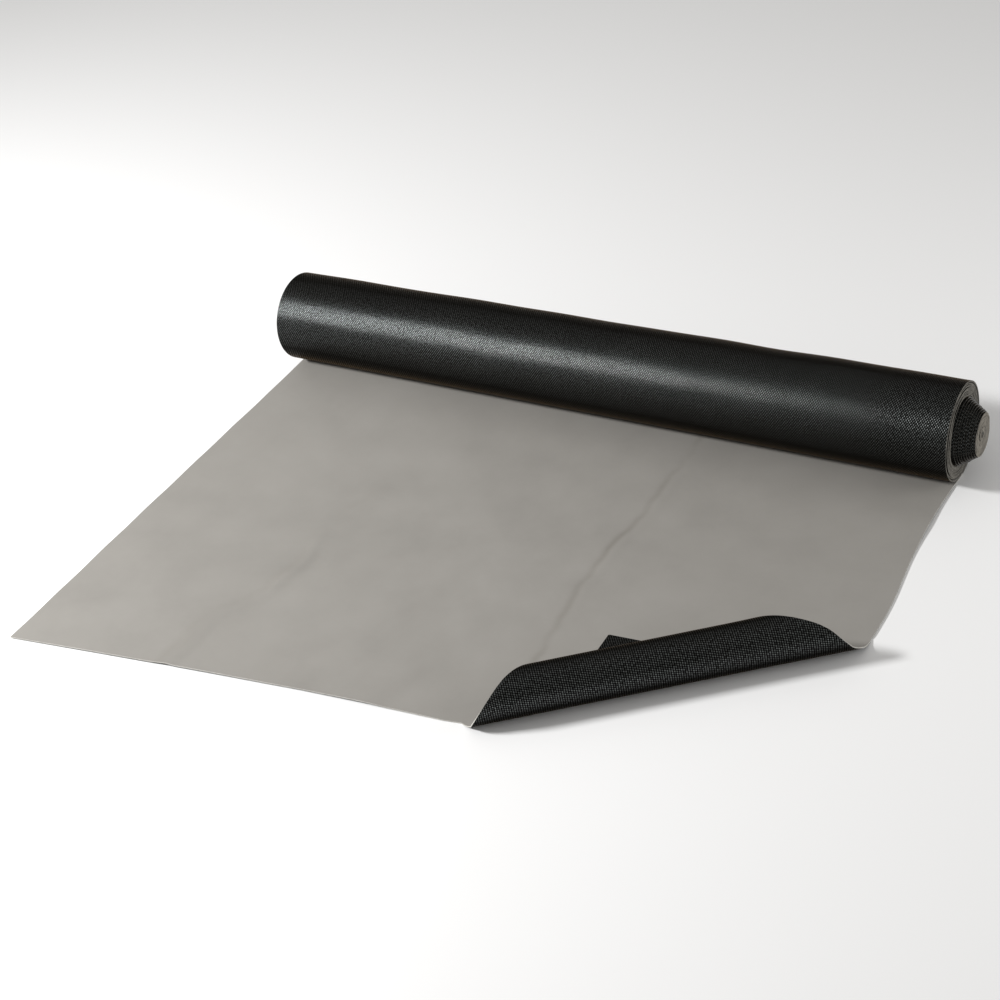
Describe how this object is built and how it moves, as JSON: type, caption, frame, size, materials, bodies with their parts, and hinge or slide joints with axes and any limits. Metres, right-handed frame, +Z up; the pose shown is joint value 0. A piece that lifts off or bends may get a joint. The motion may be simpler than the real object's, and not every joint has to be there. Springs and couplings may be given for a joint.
{
  "type": "seedling heat mat",
  "caption": "Wide heated bench mat on a roll: smooth grey top, embossed black underside, partly rolled out flat with one front corner rolled over to show the underside.",
  "frame": {"origin": "on the underside, in the middle of the mat's footprint", "axes": "+X along the roll towards the end where the inner turns stand out, +Y from the free front end to the roll, +Z up"},
  "size_m": [1.23, 0.9006, 0.1548],
  "materials": {
    "black_cover": "satin black vinyl, closely embossed",
    "grey_cover": "smooth matt grey vinyl",
    "insulation": "aluminised foam",
    "heating_film": "carbon-printed polyester film",
    "copper": "bare copper foil"
  },
  "bodies": {
    "laid_mat": {"laid_base_cover": "black_cover", "laid_insulation": "insulation", "laid_heating_film": "heating_film", "laid_bus_bars": "copper", "laid_top_cover": "grey_cover", "corner_base_cover": "black_cover", "corner_insulation": "insulation", "corner_heating_film": "heating_film", "corner_top_cover": "grey_cover"},
    "roll_carriage": {"lap_base_cover": "black_cover", "lap_insulation": "insulation", "lap_heating_film": "heating_film", "lap_bus_bars": "copper", "lap_top_cover": "grey_cover"},
    "wound_coil": {"coil_base_cover": "black_cover", "coil_insulation": "insulation", "coil_heating_film": "heating_film", "coil_bus_bars": "copper", "coil_top_cover": "grey_cover"},
    "step_turn_1": {"step_turn_1_base_cover": "black_cover", "step_turn_1_top_cover": "grey_cover"},
    "step_turn_2": {"step_turn_2_base_cover": "black_cover", "step_turn_2_top_cover": "grey_cover"},
    "step_turn_3": {"step_turn_3_base_cover": "black_cover", "step_turn_3_top_cover": "grey_cover"},
    "step_turn_4": {"step_turn_4_base_cover": "black_cover", "step_turn_4_top_cover": "grey_cover"},
    "step_turn_5": {"step_turn_5_base_cover": "black_cover", "step_turn_5_top_cover": "grey_cover"},
    "step_turn_6": {"step_turn_6_base_cover": "black_cover", "step_turn_6_top_cover": "grey_cover"},
    "step_turn_7": {"step_turn_7_base_cover": "black_cover", "step_turn_7_top_cover": "grey_cover"},
    "step_turn_8": {"step_turn_8_base_cover": "black_cover", "step_turn_8_top_cover": "grey_cover"},
    "step_turn_9": {"step_turn_9_base_cover": "black_cover", "step_turn_9_top_cover": "grey_cover"},
    "core": {"core_base_cover": "black_cover", "core_insulation": "insulation", "core_heating_film": "heating_film", "core_bus_bars": "copper", "core_top_cover": "grey_cover"}
  },
  "joints": [
    {"name": "roll_travel", "type": "slide", "parent": "laid_mat", "child": "roll_carriage", "axis": [0, 1, 0], "range_m": [0, 0.25]},
    {"name": "roll_spin", "type": "hinge", "parent": "roll_carriage", "child": "wound_coil", "pos_m": [0, 0.3729, 0.0774], "axis": [1, 0, 0], "range_deg": [-186, 0]},
    {"name": "core_slide", "type": "slide", "parent": "wound_coil", "child": "core", "axis": [1, 0, 0], "range_m": [-0.03, 0.02]},
    {"name": "step_1_slide", "type": "slide", "parent": "wound_coil", "child": "step_turn_1", "axis": [1, 0, 0], "range_m": [-0.00301, 0.00201]},
    {"name": "step_2_slide", "type": "slide", "parent": "wound_coil", "child": "step_turn_2", "axis": [1, 0, 0], "range_m": [-0.00601, 0.00401]},
    {"name": "step_3_slide", "type": "slide", "parent": "wound_coil", "child": "step_turn_3", "axis": [1, 0, 0], "range_m": [-0.00901, 0.00601]},
    {"name": "step_4_slide", "type": "slide", "parent": "wound_coil", "child": "step_turn_4", "axis": [1, 0, 0], "range_m": [-0.01201, 0.00801]},
    {"name": "step_5_slide", "type": "slide", "parent": "wound_coil", "child": "step_turn_5", "axis": [1, 0, 0], "range_m": [-0.01501, 0.01001]},
    {"name": "step_6_slide", "type": "slide", "parent": "wound_coil", "child": "step_turn_6", "axis": [1, 0, 0], "range_m": [-0.01801, 0.01201]},
    {"name": "step_7_slide", "type": "slide", "parent": "wound_coil", "child": "step_turn_7", "axis": [1, 0, 0], "range_m": [-0.02101, 0.01401]},
    {"name": "step_8_slide", "type": "slide", "parent": "wound_coil", "child": "step_turn_8", "axis": [1, 0, 0], "range_m": [-0.02401, 0.01601]},
    {"name": "step_9_slide", "type": "slide", "parent": "wound_coil", "child": "step_turn_9", "axis": [1, 0, 0], "range_m": [-0.02701, 0.01801]}
  ],
  "couplings": [
    {"joint": "roll_spin", "follows": "roll_travel", "rad_per_m": -12.92},
    {"joint": "step_1_slide", "follows": "core_slide", "ratio": 0.1},
    {"joint": "step_2_slide", "follows": "core_slide", "ratio": 0.2},
    {"joint": "step_3_slide", "follows": "core_slide", "ratio": 0.3},
    {"joint": "step_4_slide", "follows": "core_slide", "ratio": 0.4},
    {"joint": "step_5_slide", "follows": "core_slide", "ratio": 0.5},
    {"joint": "step_6_slide", "follows": "core_slide", "ratio": 0.6},
    {"joint": "step_7_slide", "follows": "core_slide", "ratio": 0.7},
    {"joint": "step_8_slide", "follows": "core_slide", "ratio": 0.8},
    {"joint": "step_9_slide", "follows": "core_slide", "ratio": 0.9}
  ]
}
